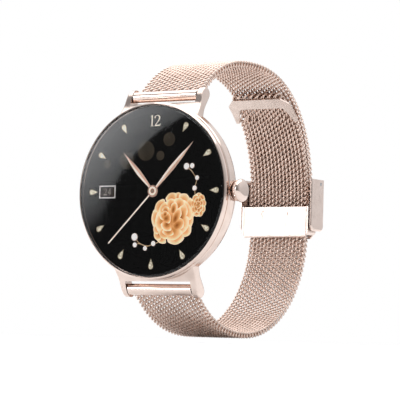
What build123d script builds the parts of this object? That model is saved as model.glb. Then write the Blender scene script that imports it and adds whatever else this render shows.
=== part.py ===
from build123d import *
import os
from math import copysign, cos, hypot, radians, sin

# A round smartwatch on a woven wire-mesh band with a sliding fold-over clasp.
# The origin is the middle of the sensor window's outer face, where the watch sits on
# the wrist. The dial faces -Y, +X is the crown side (3 o'clock), +Z is 12 o'clock.
os.makedirs("parts", exist_ok=True)

# ---------------------------------------------------------------- driving dimensions
glass_r = 19.7            # edge of the cover glass
bezel_r = 20.3            # outside of the bright ring round the glass
case_r = 20.4             # widest radius of the case
glass_edge_y = -10.0      # the glass's outer corner, in front of the case
glass_top_y = -10.35      # the flat of the glass
glass_back_y = -9.05
seat_y = -8.9             # shoulder that carries the glass and the bezel ring
cover_y = -1.6            # outer face of the back cover
cover_in_y = -2.6
cover_r = 16.0

lug_gap = 18.0            # width between the lugs
lug_half = 10.9           # outside of the lugs
lug_tip_z = 24.1
bar_y = -4.4              # spring bars
bar_z = 22.3
bar_reach = 9.9           # a spring bar's tips, from the middle
bar_hole_r = 0.45

crown_y = -6.2            # crown axis
crown_press = 0.3         # travel of the crown when it is pushed
run = 0.05                # radial clearance of a running fit

mesh_t = 1.6              # thickness of the mesh
mesh_lug_half = 8.8       # half width of the mesh at the lugs
mesh_half = 8.4           # half width from the top of the loop to the clasp
layer_gap = 0.35          # air between the two layers of mesh
loop_y = 20.0             # middle of the loop
loop_a = 29.3             # middle of the outer band: half size front to back
loop_b = 32.2             # and half height
square = 2.3              # 2 is an ellipse, and more is squarer
flat_z = -6.0             # the inner band runs straight up from here, through the clasp

clasp_half = 9.6          # half width of the clasp box
box_low, box_top = -7.8, 0.2
cover_half = 10.5         # half width of the folding cover


# ---------------------------------------------------------------- the band's curves
def loop_point(phi, a, b, off=0.0, n=square, z0=0.0):
    """A point of the band at phi degrees round the loop from its back, off mm outwards."""
    c, s = cos(radians(phi)), sin(radians(phi))
    y = a * copysign(abs(c) ** (2 / n), c)
    z = b * copysign(abs(s) ** (2 / n), s)
    ny = copysign(abs(y / a) ** (n - 1) / a, y)
    nz = copysign(abs(z / b) ** (n - 1) / b, z)
    size = hypot(ny, nz)
    return (loop_y + y + off * ny / size, z0 + z + off * nz / size)


def outer_band(phi, off=0.0):
    """The 12 o'clock band, which is the outer layer at the back."""
    return loop_point(phi, loop_a, loop_b, off)


step_in = mesh_t + layer_gap                  # from the outer layer to the inner one


def inner_band(phi, off=0.0):
    """The 6 o'clock band: a plain ellipse up to the clasp, then inside the outer band."""
    if phi < 0:
        return loop_point(phi, loop_a - step_in, loop_b + flat_z, off, 2.0, flat_z)
    return outer_band(phi, off - step_in)


def angles(first, last, count):
    """Evenly spaced angles, both ends included."""
    return [first + (last - first) * i / (count - 1) for i in range(count)]


def band_face(curve, steps, low, high):
    """The face of a band between two offsets from its middle line, in the open sketch."""
    outside = [curve(p, high) for p in steps]
    inside = [curve(p, low) for p in steps]
    with BuildLine() as outline:
        Spline(*outside)
        Line(outside[-1], inside[-1])
        Spline(*inside[::-1])
        Line(inside[0], outside[0])
    make_face(outline.edges())


half_t = mesh_t / 2
top_fold = outer_band(90)                     # where the 12 o'clock band bends
socket_r = half_t + 0.3


def save(piece, name):
    """Label a finished sub-part and write it as its own STEP file."""
    piece.part.label = name
    export_step(piece.part, f"parts/{name}.step")


def dial_plane(y):
    """A sketch plane square to the dial's axis: local x is +X, local y is +Z, out is -Y."""
    return Plane.XZ.offset(-y)


def ring(r_out, r_in, y_back, y_front):
    """A flat ring or disc about the dial's axis, added to the open part."""
    with BuildSketch(dial_plane(y_back)) as face:
        Circle(r_out)
        if r_in:
            Circle(r_in, mode=Mode.SUBTRACT)
    extrude(face.sketch, amount=y_back - y_front)


# ---------------------------------------------------------------- case
# a lug from the side, as (y, z): a slim horn that leaves the case's rim and sweeps backwards
lug_horn = [(-8.4, 15.0), (-8.3, 16.8), (-7.9, 17.8), (-6.6, 19.8), (-5.85, 21.8), (-5.2, 23.2),
            (-3.9, lug_tip_z), (-2.55, 23.7), (-2.2, 22.7), (-2.7, 21.6), (-3.6, 20.5), (-4.8, 19.0),
            (-5.5, 17.5), (-5.7, 15.0)]
lug_flank = [(11.5, 13.0), (lug_half, 19.0), (10.2, 25.0)]

with BuildPart() as case_body:
    with BuildSketch(Plane.XY):
        with BuildLine():
            Polyline((0, seat_y), (19.95, seat_y), (19.95, -8.6), (20.2, -8.5), (case_r, -8.2),
                     (case_r, -6.3))
            ThreePointArc((case_r, -6.3), (19.2, -4.0), (17.2, -2.3))
            Polyline((17.2, -2.3), (16.5, -1.7), (0, -1.7), (0, seat_y))
        make_face()
    revolve(axis=Axis.Y)
    with BuildPart(mode=Mode.PRIVATE) as lugs:
        with BuildSketch(Plane.YZ):
            with BuildLine():
                Spline(*lug_horn)
                Line(lug_horn[-1], lug_horn[0])
            make_face()
        extrude(amount=12, both=True)
        with BuildSketch(dial_plane(0)):
            with BuildLine():
                ThreePointArc(*lug_flank)
                ThreePointArc(*[(-x, z) for x, z in lug_flank])
                Line(lug_flank[0], (-lug_flank[0][0], lug_flank[0][1]))
                Line(lug_flank[2], (-lug_flank[2][0], lug_flank[2][1]))
            make_face()
        extrude(amount=12, mode=Mode.INTERSECT)
        fillet(lugs.edges().filter_by(lambda e: abs(e.center().X) > 10 and e.length > 10), 0.35)
    add(lugs.part)
    add(mirror(lugs.part, about=Plane.XY))
    # gaps for the band's ends, and the spring bars' blind holes in the lugs
    with Locations((0, -5, 25.5), (0, -5, -25.5)):
        Box(lug_gap, 12, 10, mode=Mode.SUBTRACT)
    for side in (-1, 1):
        for end in (-1, 1):
            hole = Plane(origin=(side * (lug_gap / 2 - 0.5), bar_y, end * bar_z), z_dir=(side, 0, 0))
            with BuildSketch(hole):
                Circle(bar_hole_r)
            extrude(amount=bar_reach - lug_gap / 2 + 0.7, mode=Mode.SUBTRACT)
    # the cavity: open at the glass seat, with a ledge at the back that the cover screws to
    with BuildSketch(Plane.XY):
        Polygon((0, -9.5), (18.4, -9.5), (18.4, -8.0), (17.8, -4.6), (17.0, -3.7), (14.6, -3.7),
                (14.6, cover_in_y), (cover_r + 0.1, cover_in_y), (cover_r + 0.1, 0), (0, 0), align=None)
    revolve(axis=Axis.Y, mode=Mode.SUBTRACT)
    # hole and seat for the crown tube
    with BuildSketch(Plane.YZ.offset(16)):
        with Locations((crown_y, 0)):
            Circle(1.5)
    extrude(amount=6, mode=Mode.SUBTRACT)
    with BuildSketch(Plane.YZ.offset(19.9)):
        with Locations((crown_y, 0)):
            Circle(2.4)
    extrude(amount=2, mode=Mode.SUBTRACT)
    with BuildSketch(dial_plane(cover_in_y)):
        with PolarLocations(15.3, 4, start_angle=45):
            Circle(0.5)
    extrude(amount=0.8, mode=Mode.SUBTRACT)
save(case_body, "case_body")

with BuildPart() as bezel_ring:
    with BuildSketch(Plane.XY):
        Polygon((glass_r + 0.05, seat_y), (bezel_r, seat_y), (bezel_r, -9.6), (bezel_r - 0.25, -10.0),
                (glass_r + 0.15, -10.05), (glass_r + 0.05, -9.95), align=None)
    revolve(axis=Axis.Y)
save(bezel_ring, "bezel_ring")

with BuildPart() as cover_glass:
    with BuildSketch(Plane.XY):
        with BuildLine():
            Polyline((0, glass_back_y), (glass_r, glass_back_y), (glass_r, glass_edge_y + 0.1))
            ThreePointArc((glass_r, glass_edge_y + 0.1), (19.55, -10.22), (19.2, glass_top_y))
            Polyline((19.2, glass_top_y), (0, glass_top_y), (0, glass_back_y))
        make_face()
    revolve(axis=Axis.Y)
save(cover_glass, "cover_glass")

with BuildPart() as glass_gasket:
    ring(19.5, 18.5, seat_y, glass_back_y)
save(glass_gasket, "glass_gasket")

display_back_y = -8.35
with BuildPart() as display_panel:
    ring(18.1, 0, display_back_y, glass_back_y)
save(display_panel, "display_panel")

with BuildPart() as inner_frame:
    ring(17.8, 0, -7.6, display_back_y)
    with BuildSketch(dial_plane(-7.6)):
        with Locations((14.6, 0)):
            Rectangle(7.2, 5.4)
        with Locations((-14.6, 0)):
            Rectangle(3.4, 7.0)
    extrude(amount=2, mode=Mode.SUBTRACT)
save(inner_frame, "inner_frame")

battery_front_y, battery_back_y = -7.5, -4.5
with BuildPart() as battery:
    with BuildSketch(dial_plane(battery_back_y)):
        with Locations((-1.5, 2.0)):
            RectangleRounded(22, 20, 1.0)
    extrude(amount=battery_back_y - battery_front_y)
    fillet(battery.edges().filter_by(Axis.Y, reverse=True), 0.3)
save(battery, "battery")

board_back_y = -3.3
with BuildPart() as main_board:
    ring(14.2, 0, board_back_y, -4.1)
save(main_board, "main_board")

with BuildPart() as board_chips:
    with BuildSketch(dial_plane(-2.75)):
        with Locations((-8.6, 4.2)):
            Rectangle(5, 5)
        with Locations((9.8, 2.5)):
            Rectangle(3.4, 3.4)
        with Locations((-6.5, -9.2)):
            Rectangle(3, 2)
        with Locations((1.0, 10.2)):
            Rectangle(4, 2.4)
    extrude(amount=-2.75 - board_back_y)
save(board_chips, "board_chips")

with BuildPart() as display_flex:
    # a thin strip folded from the back of the display, round the battery, to the board
    with BuildSketch(Plane.XY.offset(-3.0)):
        Polygon((-15.9, display_back_y), (-15.7, display_back_y), (-15.7, -4.3), (-13.2, -4.3),
                (-13.2, -4.1), (-15.9, -4.1), align=None)
    extrude(amount=6.0)
save(display_flex, "display_flex")

with BuildPart() as vibration_motor:
    with BuildSketch(dial_plane(-4.2)):
        with Locations((3.0, -12.9)):
            Circle(4.0)
    extrude(amount=2.7)
    fillet(vibration_motor.edges().group_by(Axis.Y)[0], 0.4)
save(vibration_motor, "vibration_motor")

# ---------------------------------------------------------------- back of the case
magnet_z, contact_z = 11.6, -11.6
with BuildPart() as back_cover:
    ring(cover_r, 8.6, cover_y, cover_in_y)
    ring(14.5, 13.5, cover_in_y, -3.15)
    with BuildSketch(Plane.XY):
        Polygon((14.2, -3.0), (15, -3.0), (15, -2.7), (14.2, -2.7), align=None)
    revolve(axis=Axis.Y, mode=Mode.SUBTRACT)
    with BuildSketch(dial_plane(cover_y)):
        with PolarLocations(15.3, 4, start_angle=45):
            Circle(0.62)
        with Locations((-2.2, contact_z), (2.2, contact_z)):
            Circle(0.9)
    extrude(amount=1.2, mode=Mode.SUBTRACT)
    with BuildSketch(dial_plane(-2.0)):
        with Locations((-4.5, magnet_z), (4.5, magnet_z)):
            Circle(1.5)
    extrude(amount=1, mode=Mode.SUBTRACT)
save(back_cover, "back_cover")

with BuildPart() as back_seal:
    ring(14.58, 14.2, -2.7, -3.0)
save(back_seal, "back_seal")

with BuildPart() as back_screws:
    with BuildSketch(dial_plane(cover_y)):
        with PolarLocations(15.3, 4, start_angle=45):
            Circle(0.6)
    extrude(amount=1.0)
    with BuildSketch(dial_plane(cover_in_y)):
        with PolarLocations(15.3, 4, start_angle=45):
            Circle(0.48)
    extrude(amount=0.75)
    with BuildSketch(dial_plane(cover_y)):
        with PolarLocations(15.3, 4, start_angle=45):
            Rectangle(0.8, 0.2)
            Rectangle(0.2, 0.8)
    extrude(amount=0.25, mode=Mode.SUBTRACT)
save(back_screws, "back_screws")

with BuildPart() as charging_contacts:
    with BuildSketch(dial_plane(cover_y)):
        with Locations((-2.2, contact_z), (2.2, contact_z)):
            Circle(0.9)
    extrude(amount=1.0)
save(charging_contacts, "charging_contacts")

with BuildPart() as charging_magnets:
    with BuildSketch(dial_plane(-2.0)):
        with Locations((-4.5, magnet_z), (4.5, magnet_z)):
            Circle(1.5)
    extrude(amount=0.6)
save(charging_magnets, "charging_magnets")

with BuildPart() as sensor_window:
    with BuildSketch(Plane.XY):
        with BuildLine():
            Polyline((0, 0), (8.2, 0))
            ThreePointArc((8.2, 0), (9.2, -0.45), (9.6, cover_y))
            Polyline((9.6, cover_y), (8.5, cover_y), (8.5, cover_in_y), (7.8, cover_in_y),
                     (7.8, -0.9), (0, -0.9), (0, 0))
        make_face()
    revolve(axis=Axis.Y)
save(sensor_window, "sensor_window")

with BuildPart() as sensor_board:
    ring(7.6, 0, -1.9, -2.5)
save(sensor_board, "sensor_board")

with BuildPart() as sensor_leds:
    with BuildSketch(dial_plane(-1.1)):
        Rectangle(2.6, 2.6)
        with PolarLocations(4.6, 4, start_angle=45):
            Rectangle(1.6, 1.6)
    extrude(amount=0.8)
save(sensor_leds, "sensor_leds")

# ---------------------------------------------------------------- crown
crown_axis = Axis((0, crown_y, 0), (1, 0, 0))
tube_bore, stem_r, groove_r = 1.0, 0.95, 0.6
groove_x = (18.2, 19.3)
groove_w = 0.5
knob_x, skirt_x, dome_x = 21.0, 21.75, 23.0      # knob's inner face, skirt's end, dome's top
skirt_r, dome_r = 2.4, 2.6


def turned(*outline):
    """Turn an outline of (distance from the dial's middle, radius) points about the crown's axis."""
    with BuildSketch(Plane.XY) as face:
        Polygon(*[(x, crown_y + r) for x, r in outline], align=None)
    revolve(face.sketch, axis=crown_axis)


with BuildPart() as crown_tube:
    turned((16.9, tube_bore), (20.6, tube_bore), (20.6, 2.3), (19.9, 2.3), (19.9, 1.5), (16.9, 1.5))
save(crown_tube, "crown_tube")

with BuildPart() as crown:
    with BuildSketch(Plane.XY):
        with BuildLine():
            Polyline((knob_x, crown_y), (knob_x, crown_y + skirt_r), (skirt_x, crown_y + skirt_r),
                     (skirt_x, crown_y + dome_r), (skirt_x + 0.3, crown_y + dome_r))
            ThreePointArc((skirt_x + 0.3, crown_y + dome_r), (22.65, crown_y + 1.75),
                          (dome_x, crown_y + 0.5))
            Polyline((dome_x, crown_y + 0.5), (dome_x, crown_y), (knob_x, crown_y))
        make_face()
    revolve(axis=crown_axis)
    # fine straight knurling round the skirt
    with BuildSketch(Plane.YZ.offset(knob_x)):
        with Locations((crown_y, 0)):
            with PolarLocations(skirt_r, 30):
                Rectangle(0.3, 0.2)
    extrude(amount=skirt_x - knob_x, mode=Mode.SUBTRACT)
    # a stem with two grooves for its seals, and a square end that drives the encoder wheel
    turned((17.0, 0), (17.0, stem_r), (groove_x[0], stem_r), (groove_x[0], groove_r),
           (groove_x[0] + groove_w, groove_r), (groove_x[0] + groove_w, stem_r), (groove_x[1], stem_r),
           (groove_x[1], groove_r), (groove_x[1] + groove_w, groove_r), (groove_x[1] + groove_w, stem_r),
           (knob_x + 0.2, stem_r), (knob_x + 0.2, 0))
    with BuildSketch(Plane.YZ.offset(13.9)):
        with Locations((crown_y, 0)):
            Rectangle(1.0, 1.0)
    extrude(amount=3.3)
save(crown, "crown")

with BuildPart() as crown_o_rings:
    for x in groove_x:
        turned((x + 0.05, groove_r), (x + 0.45, groove_r), (x + 0.45, 0.97), (x + 0.05, 0.97))
save(crown_o_rings, "crown_o_rings")

with BuildPart() as encoder_wheel:
    turned((15.0, 0), (15.0, 1.65), (15.4, 1.65), (15.4, 0.9), (16.4, 0.9), (16.4, 0))
    with BuildSketch(Plane.YZ.offset(15.0)):
        with Locations((crown_y, 0)):
            Rectangle(1.0 + 2 * run, 1.0 + 2 * run)
            with PolarLocations(1.3, 16):
                Rectangle(0.4, 0.2)
    extrude(amount=2, mode=Mode.SUBTRACT)
save(encoder_wheel, "encoder_wheel")

with BuildPart() as encoder_bracket:
    with BuildSketch(Plane.YZ.offset(15.9)):
        with Locations(((-8.1 - 4.35) / 2, 0)):
            Rectangle(3.75, 4.4)
        with Locations((crown_y, 0)):
            Circle(0.9 + run, mode=Mode.SUBTRACT)
    extrude(amount=0.4)
    with BuildSketch(dial_plane(-4.1)):
        with Locations((14.8, 0)):
            Rectangle(3.0, 4.4)
    extrude(amount=0.25)
save(encoder_bracket, "encoder_bracket")

plunger_r = 0.5
with BuildPart() as crown_switch:
    with Locations((12.2, (-8.0 - 4.1) / 2, 0)):
        Box(1.6, 3.9, 3.2)
    with BuildSketch(Plane.YZ.offset(12.3)):
        with Locations((crown_y, 0)):
            Circle(plunger_r + run)
    extrude(amount=2, mode=Mode.SUBTRACT)
save(crown_switch, "crown_switch")

with BuildPart() as switch_plunger:
    turned((12.3 + crown_press + 0.05, 0), (12.3 + crown_press + 0.05, plunger_r),
           (13.85, plunger_r), (13.85, 0))
save(switch_plunger, "switch_plunger")

# ---------------------------------------------------------------- ends of the band
end_tube_r, end_bore_r = 1.3, 0.8
barrel_r, barrel_bore, barrel_half = 0.75, 0.55, 7.6
collar_r, collar_x = 0.5, 6.4
tip_r = 0.4


def bar_line(end):
    """The axis of a spring bar: end is 1 at 12 o'clock and -1 at 6 o'clock."""
    return Plane(origin=(0, bar_y, end * bar_z), x_dir=(0, 1, 0), z_dir=(1, 0, 0))


def along_bar(end, r, first, last, mode=Mode.ADD):
    """A round length of a spring bar between two distances along it."""
    with BuildSketch(bar_line(end).offset(first)) as face:
        Circle(r)
    extrude(face.sketch, amount=last - first, mode=mode)


for end, name in ((1, "top"), (-1, "bottom")):
    with BuildPart() as end_tube:
        along_bar(end, end_tube_r, -mesh_lug_half, mesh_lug_half)
        along_bar(end, end_bore_r, -mesh_lug_half, mesh_lug_half, Mode.SUBTRACT)
        chamfer(end_tube.edges().filter_by(GeomType.CIRCLE).sort_by(SortBy.RADIUS)[-2:], 0.12)
    save(end_tube, f"{name}_end_tube")

    with BuildPart() as barrel:
        along_bar(end, barrel_r, -barrel_half, barrel_half)
        along_bar(end, barrel_bore, -barrel_half + 0.3, barrel_half - 0.3, Mode.SUBTRACT)
        along_bar(end, tip_r + run, -barrel_half, barrel_half, Mode.SUBTRACT)
    save(barrel, f"{name}_bar_barrel")

    with BuildPart() as bar_spring:
        coil = Helix(pitch=1.1, height=2 * collar_x - 0.3, radius=0.36,
                     center=(-collar_x + 0.15, bar_y, end * bar_z), direction=(1, 0, 0))
        with BuildSketch(Plane(origin=coil @ 0, z_dir=coil % 0)):
            Circle(0.09)
        sweep(path=coil)
    save(bar_spring, f"{name}_bar_spring")

    for side, hand in ((-1, "left"), (1, "right")):
        with BuildPart() as bar_pin:
            along_bar(end, collar_r, side * collar_x, side * (barrel_half - 0.35))
            along_bar(end, tip_r, side * (barrel_half - 0.35), side * bar_reach)
        save(bar_pin, f"{name}_bar_pin_{hand}")

# ---------------------------------------------------------------- mesh band
plan = [(mesh_lug_half, -10), (mesh_lug_half, bar_y), (mesh_half, loop_y), (mesh_half, 60)]
plan += [(-x, y) for x, y in plan[::-1]]


def trim_to_plan():
    """Narrow the band from the lugs to the top of the loop."""
    with BuildSketch(Plane.XY) as face:
        Polygon(*plan, align=None)
    extrude(face.sketch, amount=40, both=True, mode=Mode.INTERSECT)


lead_angle = 130                              # here the band leaves its end tube in a straight line
lead_length = 4.4


def front_band(phi, off=0.0):
    """The front half of a band, with its straight lead to the end tube."""
    y, z = outer_band(min(phi, lead_angle), off)
    if phi > lead_angle:
        y1, z1 = outer_band(lead_angle - 1, off)
        reach = lead_length * (phi - lead_angle) / hypot(y - y1, z - z1)
        y, z = y + (y - y1) * reach, z + (z - z1) * reach
    return (y, z)


with BuildPart() as top_mesh_front:
    with BuildSketch(Plane.YZ):
        band_face(front_band, angles(90, lead_angle, 9) + [lead_angle + 0.5, lead_angle + 1],
                  -half_t, half_t)
        with Locations((bar_y, bar_z)):
            Circle(end_tube_r, mode=Mode.SUBTRACT)
        with Locations(top_fold):
            Circle(socket_r, mode=Mode.SUBTRACT)
    extrude(amount=12, both=True)
    trim_to_plan()
save(top_mesh_front, "top_mesh_front")

with BuildPart() as bottom_mesh_front:
    add(mirror(top_mesh_front.part, about=Plane.XY))
save(bottom_mesh_front, "bottom_mesh_front")

with BuildPart() as top_mesh_back:
    with BuildSketch(Plane.YZ):
        band_face(outer_band, angles(90, 4, 16), -half_t, half_t)
        with Locations(top_fold):
            Circle(half_t)
    extrude(amount=mesh_half, both=True)
save(top_mesh_back, "top_mesh_back")

tail_angle, plate_angle = 62.5, 51.5          # the tail's end, and the middle of its end plate
plate_t = 0.35                                # the plate is welded to the mesh's inner face
neck_half = 7.5                               # the mesh is narrower under the plate
plate_middle = inner_band(plate_angle)
plate_ahead = inner_band(plate_angle + 0.5)
plate_run = Vector(0, plate_ahead[0] - plate_middle[0], plate_ahead[1] - plate_middle[1])
# square to the tail at the plate: local x is +X, and local y runs along the tail to its end
plate_plane = Plane(origin=(0, *plate_middle), x_dir=(1, 0, 0),
                    z_dir=Vector(1, 0, 0).cross(plate_run))

with BuildPart() as bottom_mesh_tail:
    with BuildSketch(Plane.YZ):
        band_face(inner_band, angles(-90, -5, 15) + angles(0, tail_angle, 13), -half_t, half_t)
        with Locations((top_fold[0], -top_fold[1])):
            Circle(half_t)
    extrude(amount=mesh_half, both=True)
    with BuildSketch(plate_plane):
        for side in (-1, 1):
            Polygon((side * neck_half, -3.6), (side * neck_half, 2.6), (side * 7.0, 4.0), (side * 7.0, 8.0),
                    (side * 12, 8.0), (side * 12, -3.6), align=None)
    extrude(amount=3, both=True, mode=Mode.SUBTRACT)
save(bottom_mesh_tail, "bottom_mesh_tail")

with BuildPart() as tail_end_plate:
    with BuildSketch(Plane.YZ):
        band_face(inner_band, angles(42, 61, 12), -half_t - plate_t, -half_t)
    extrude(amount=10, both=True)
    with BuildSketch(plate_plane):
        half_u = [(0, 3.6), (6.4, 3.6), (7.0, 3.4), (8.7, 1.7), (8.9, 1.2), (8.9, -3.8), (8.6, -4.2),
                  (8.1, -4.2), (6.4, -0.2), (5.8, 0.3), (0, 0.3)]
        Polygon(*half_u, *[(-x, v) for x, v in half_u[-2:0:-1]], align=None)
    extrude(amount=4, both=True, mode=Mode.INTERSECT)
save(tail_end_plate, "tail_end_plate")

# ---------------------------------------------------------------- clasp
band_back_y = loop_y + loop_a                  # middle of the outer band at the back
band_out_y = band_back_y + half_t
band_in_y = band_back_y - half_t
box_out_y = band_in_y + 0.6
box_in_y = 45.2
wall = 0.55
cover_pin_y, cover_pin_z = 49.7, 5.9
lock_pin_y, lock_pin_z = 45.7, -7.1


def cross_rod(y, z, r, first, last, mode=Mode.ADD):
    """A round rod across the band between two distances from its middle."""
    with BuildSketch(Plane.YZ.offset(first)) as face:
        with Locations((y, z)):
            Circle(r)
    extrude(face.sketch, amount=last - first, mode=mode)


with BuildPart() as top_end_piece:
    # a tray that holds the end of the outer band, with a tongue over the clasp box
    with BuildSketch(Plane.YZ):
        Polygon((band_in_y, 0.7), (49.45, 0.7), (49.45, -4.0), (band_out_y, -4.0), (band_out_y, 0.7),
                (band_out_y + wall, 0.7), (band_out_y + wall, 6.6), (band_in_y, 6.6), align=None)
    extrude(amount=clasp_half, both=True)
    with Locations((0, (band_in_y + band_out_y) / 2 - 1, 4.65)):
        Box(2 * mesh_half, mesh_t + 2, 5.0, mode=Mode.SUBTRACT)
    for side in (-1, 1):
        with Locations((side * 9.0, 50, -2)):
            Box(5.0, 3, 5.4, mode=Mode.SUBTRACT)
        cross_rod(cover_pin_y, cover_pin_z, 0.4, side * 8, side * 11, Mode.SUBTRACT)
save(top_end_piece, "top_end_piece")

with BuildPart() as cover_pins:
    for side in (-1, 1):
        cross_rod(cover_pin_y, cover_pin_z, 0.4, side * (mesh_half + 0.05), side * cover_half)
save(cover_pins, "cover_pins")

flange_in = 9.95
cover_out_y, flange_front_y = 51.5, 45.4
with BuildPart() as clasp_cover:
    with BuildSketch(Plane.YZ):
        Polygon((flange_front_y, -5.9), (cover_out_y, -5.9), (cover_out_y, 7.0), (flange_front_y, 7.0),
                align=None)
    extrude(amount=cover_half, both=True)
    fillet(clasp_cover.edges().filter_by(Axis.X).group_by(Axis.Z)[0], 1.4)
    fillet(clasp_cover.edges().filter_by(Axis.Z).group_by(Axis.Y)[-1], 0.5)
    with Locations((0, 45.95, 0)):
        Box(2 * flange_in, 10.0, 20, mode=Mode.SUBTRACT)
    with Locations((0, 50, 10.2)):
        Box(2 * flange_in, 10, 10, mode=Mode.SUBTRACT)
    cross_rod(cover_pin_y, cover_pin_z, 0.4 + run, -12, 12, Mode.SUBTRACT)
save(clasp_cover, "clasp_cover")

with BuildPart() as clasp_box:
    with Locations((0, (box_in_y + box_out_y) / 2, (box_low + box_top) / 2)):
        Box(2 * clasp_half, box_out_y - box_in_y, box_top - box_low)
    chamfer(clasp_box.edges().filter_by(Axis.Y).group_by(Axis.Z)[0], length=1.5, length2=1.3)
    with Locations((0, (box_in_y + band_in_y) / 2 - 1, 0)):
        Box(2 * (clasp_half - wall), band_in_y - box_in_y + 2, 30, mode=Mode.SUBTRACT)
    cross_rod(lock_pin_y, lock_pin_z, 0.25, -12, 12, Mode.SUBTRACT)
save(clasp_box, "clasp_box")

with BuildPart() as lock_pin:
    cross_rod(lock_pin_y, lock_pin_z, 0.25, -8.8, 8.8)
save(lock_pin, "lock_pin")

plate_half = clasp_half - wall - 0.1
with BuildPart() as lock_plate:
    with BuildSketch(Plane.YZ):
        Polygon((box_in_y, lock_pin_z), (box_in_y + 0.6, lock_pin_z), (box_in_y + 0.6, 0.1),
                (box_in_y, 0.1), align=None)
        with Locations((lock_pin_y, lock_pin_z)):
            Circle(0.5)
    extrude(amount=plate_half, both=True)
    cross_rod(lock_pin_y, lock_pin_z, 0.25 + run, -12, 12, Mode.SUBTRACT)
    # the engraved outline of a long oval near the free edge
    with BuildSketch(dial_plane(box_in_y + 0.12)):
        with Locations((0, -1.6)):
            SlotOverall(7.8, 1.7)
            SlotOverall(7.3, 1.2, mode=Mode.SUBTRACT)
    extrude(amount=1, mode=Mode.SUBTRACT)
save(lock_plate, "lock_plate")
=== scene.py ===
import math

import bpy
import numpy as np
from mathutils import Matrix, Vector


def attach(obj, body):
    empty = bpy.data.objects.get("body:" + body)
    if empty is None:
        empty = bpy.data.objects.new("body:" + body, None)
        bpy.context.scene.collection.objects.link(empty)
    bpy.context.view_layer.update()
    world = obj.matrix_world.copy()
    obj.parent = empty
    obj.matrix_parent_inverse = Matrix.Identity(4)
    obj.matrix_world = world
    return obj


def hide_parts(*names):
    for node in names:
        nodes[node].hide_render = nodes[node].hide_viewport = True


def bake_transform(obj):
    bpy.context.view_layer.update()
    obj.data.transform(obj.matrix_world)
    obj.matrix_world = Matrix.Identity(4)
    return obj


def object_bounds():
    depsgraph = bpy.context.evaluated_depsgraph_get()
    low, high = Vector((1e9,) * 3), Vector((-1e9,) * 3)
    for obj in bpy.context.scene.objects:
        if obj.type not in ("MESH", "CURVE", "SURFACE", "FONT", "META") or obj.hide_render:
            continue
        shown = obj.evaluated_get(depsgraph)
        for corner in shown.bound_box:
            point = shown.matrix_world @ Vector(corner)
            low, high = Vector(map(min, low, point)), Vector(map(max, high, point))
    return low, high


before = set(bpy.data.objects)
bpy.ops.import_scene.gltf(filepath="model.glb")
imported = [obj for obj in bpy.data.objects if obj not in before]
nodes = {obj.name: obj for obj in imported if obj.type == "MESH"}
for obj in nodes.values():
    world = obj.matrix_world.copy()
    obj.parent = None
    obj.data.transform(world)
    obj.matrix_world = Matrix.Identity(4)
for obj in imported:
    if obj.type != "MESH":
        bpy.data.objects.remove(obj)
cad_low, cad_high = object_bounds()

MM = 0.001                     # lengths below are in millimetres, and meshes are built in metres

# ---------------------------------------------------------------- the band's own sizes, as in the CAD
MESH_HALF_T = 0.8              # half the thickness of the woven band
LUG_HALF, BAND_HALF = 8.8, 8.4  # half width at the lugs, and from the top of the loop on
BAR_Y, BAR_Z = -4.4, 22.3      # the spring bars
END_TUBE_R = 1.3
LOOP_Y, LOOP_A, LOOP_B, SQUARE = 20.0, 29.3, 32.2, 2.3
STEP_IN = 1.95                 # from the outer layer's middle to the inner layer's
FLAT_Z = -6.0
LEAD_ANGLE, LEAD_LENGTH = 130, 4.4
TAIL_ANGLE = 62.5              # the end of the 6 o'clock band
PLATE_ANGLE, BAR_ANGLE = 43.0, 57.0   # its end plate starts here, and the mesh stands out past the bar
PLATE_HALF, TIP_HALF = 7.5, 7.0       # the mesh is narrower there

# the weave: pairs of flat coils across the band, each hooked through the next
WIRE_R = 0.25
ROW = 0.63                     # from one coil to the next, along the band
COIL_HALF = 0.74               # half a coil's length, along the band
COIL_R = MESH_HALF_T - WIRE_R  # half a coil's depth
TURNS = 7.5
UPRIGHT = 0.08                 # how far the strands stand up from a plain coil's slant
EDGE_BEND, LINK_PULL = 0.3, 2.6  # the wire's turn at the band's edge: its room and its roundness
TURN_STEPS, LINK_STEPS, SIDES = 14, 7, 7
BEND_REACH = 5.0               # the weave bends over this much on each side of a fold


# ---------------------------------------------------------------- meshes
def add_mesh(name, points, faces, mat, body, smooth=True, uv=None):
    """A mesh piece from points in millimetres, which rides on a body."""
    mesh = bpy.data.meshes.new(name)
    mesh.from_pydata((np.asarray(points, float) * MM).tolist(), [], [list(f) for f in faces])
    mesh.validate()
    if smooth:
        mesh.shade_smooth()
    if uv is not None:
        layer = mesh.uv_layers.new(name="UVMap")
        corner = np.zeros(len(mesh.loops), np.int32)
        mesh.loops.foreach_get("vertex_index", corner)
        layer.data.foreach_set("uv", np.asarray(uv, np.float32)[corner].ravel())
    mesh.materials.append(mat)
    obj = bpy.data.objects.new(name, mesh)
    bpy.context.scene.collection.objects.link(obj)
    if body:
        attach(obj, body)
    return obj


# ---------------------------------------------------------------- materials
def new_material(name, **sockets):
    """A material whose Principled shader has these sockets set directly."""
    mat = bpy.data.materials.new(name)
    mat.use_nodes = True
    shader = mat.node_tree.nodes["Principled BSDF"]
    for socket, value in sockets.items():
        shader.inputs[socket.replace("_", " ")].default_value = value
    return mat


def node(mat, kind, links=(), **sockets):
    """A new node of a material, with its inputs set, and linked from other nodes' outputs."""
    made = mat.node_tree.nodes.new("ShaderNode" + kind)
    for socket, value in sockets.items():
        made.inputs[socket.replace("_", " ")].default_value = value
    for socket, output in links:
        mat.node_tree.links.new(output, made.inputs[socket])
    return made


def to_shader(mat, socket, output):
    mat.node_tree.links.new(output, mat.node_tree.nodes["Principled BSDF"].inputs[socket])


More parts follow.
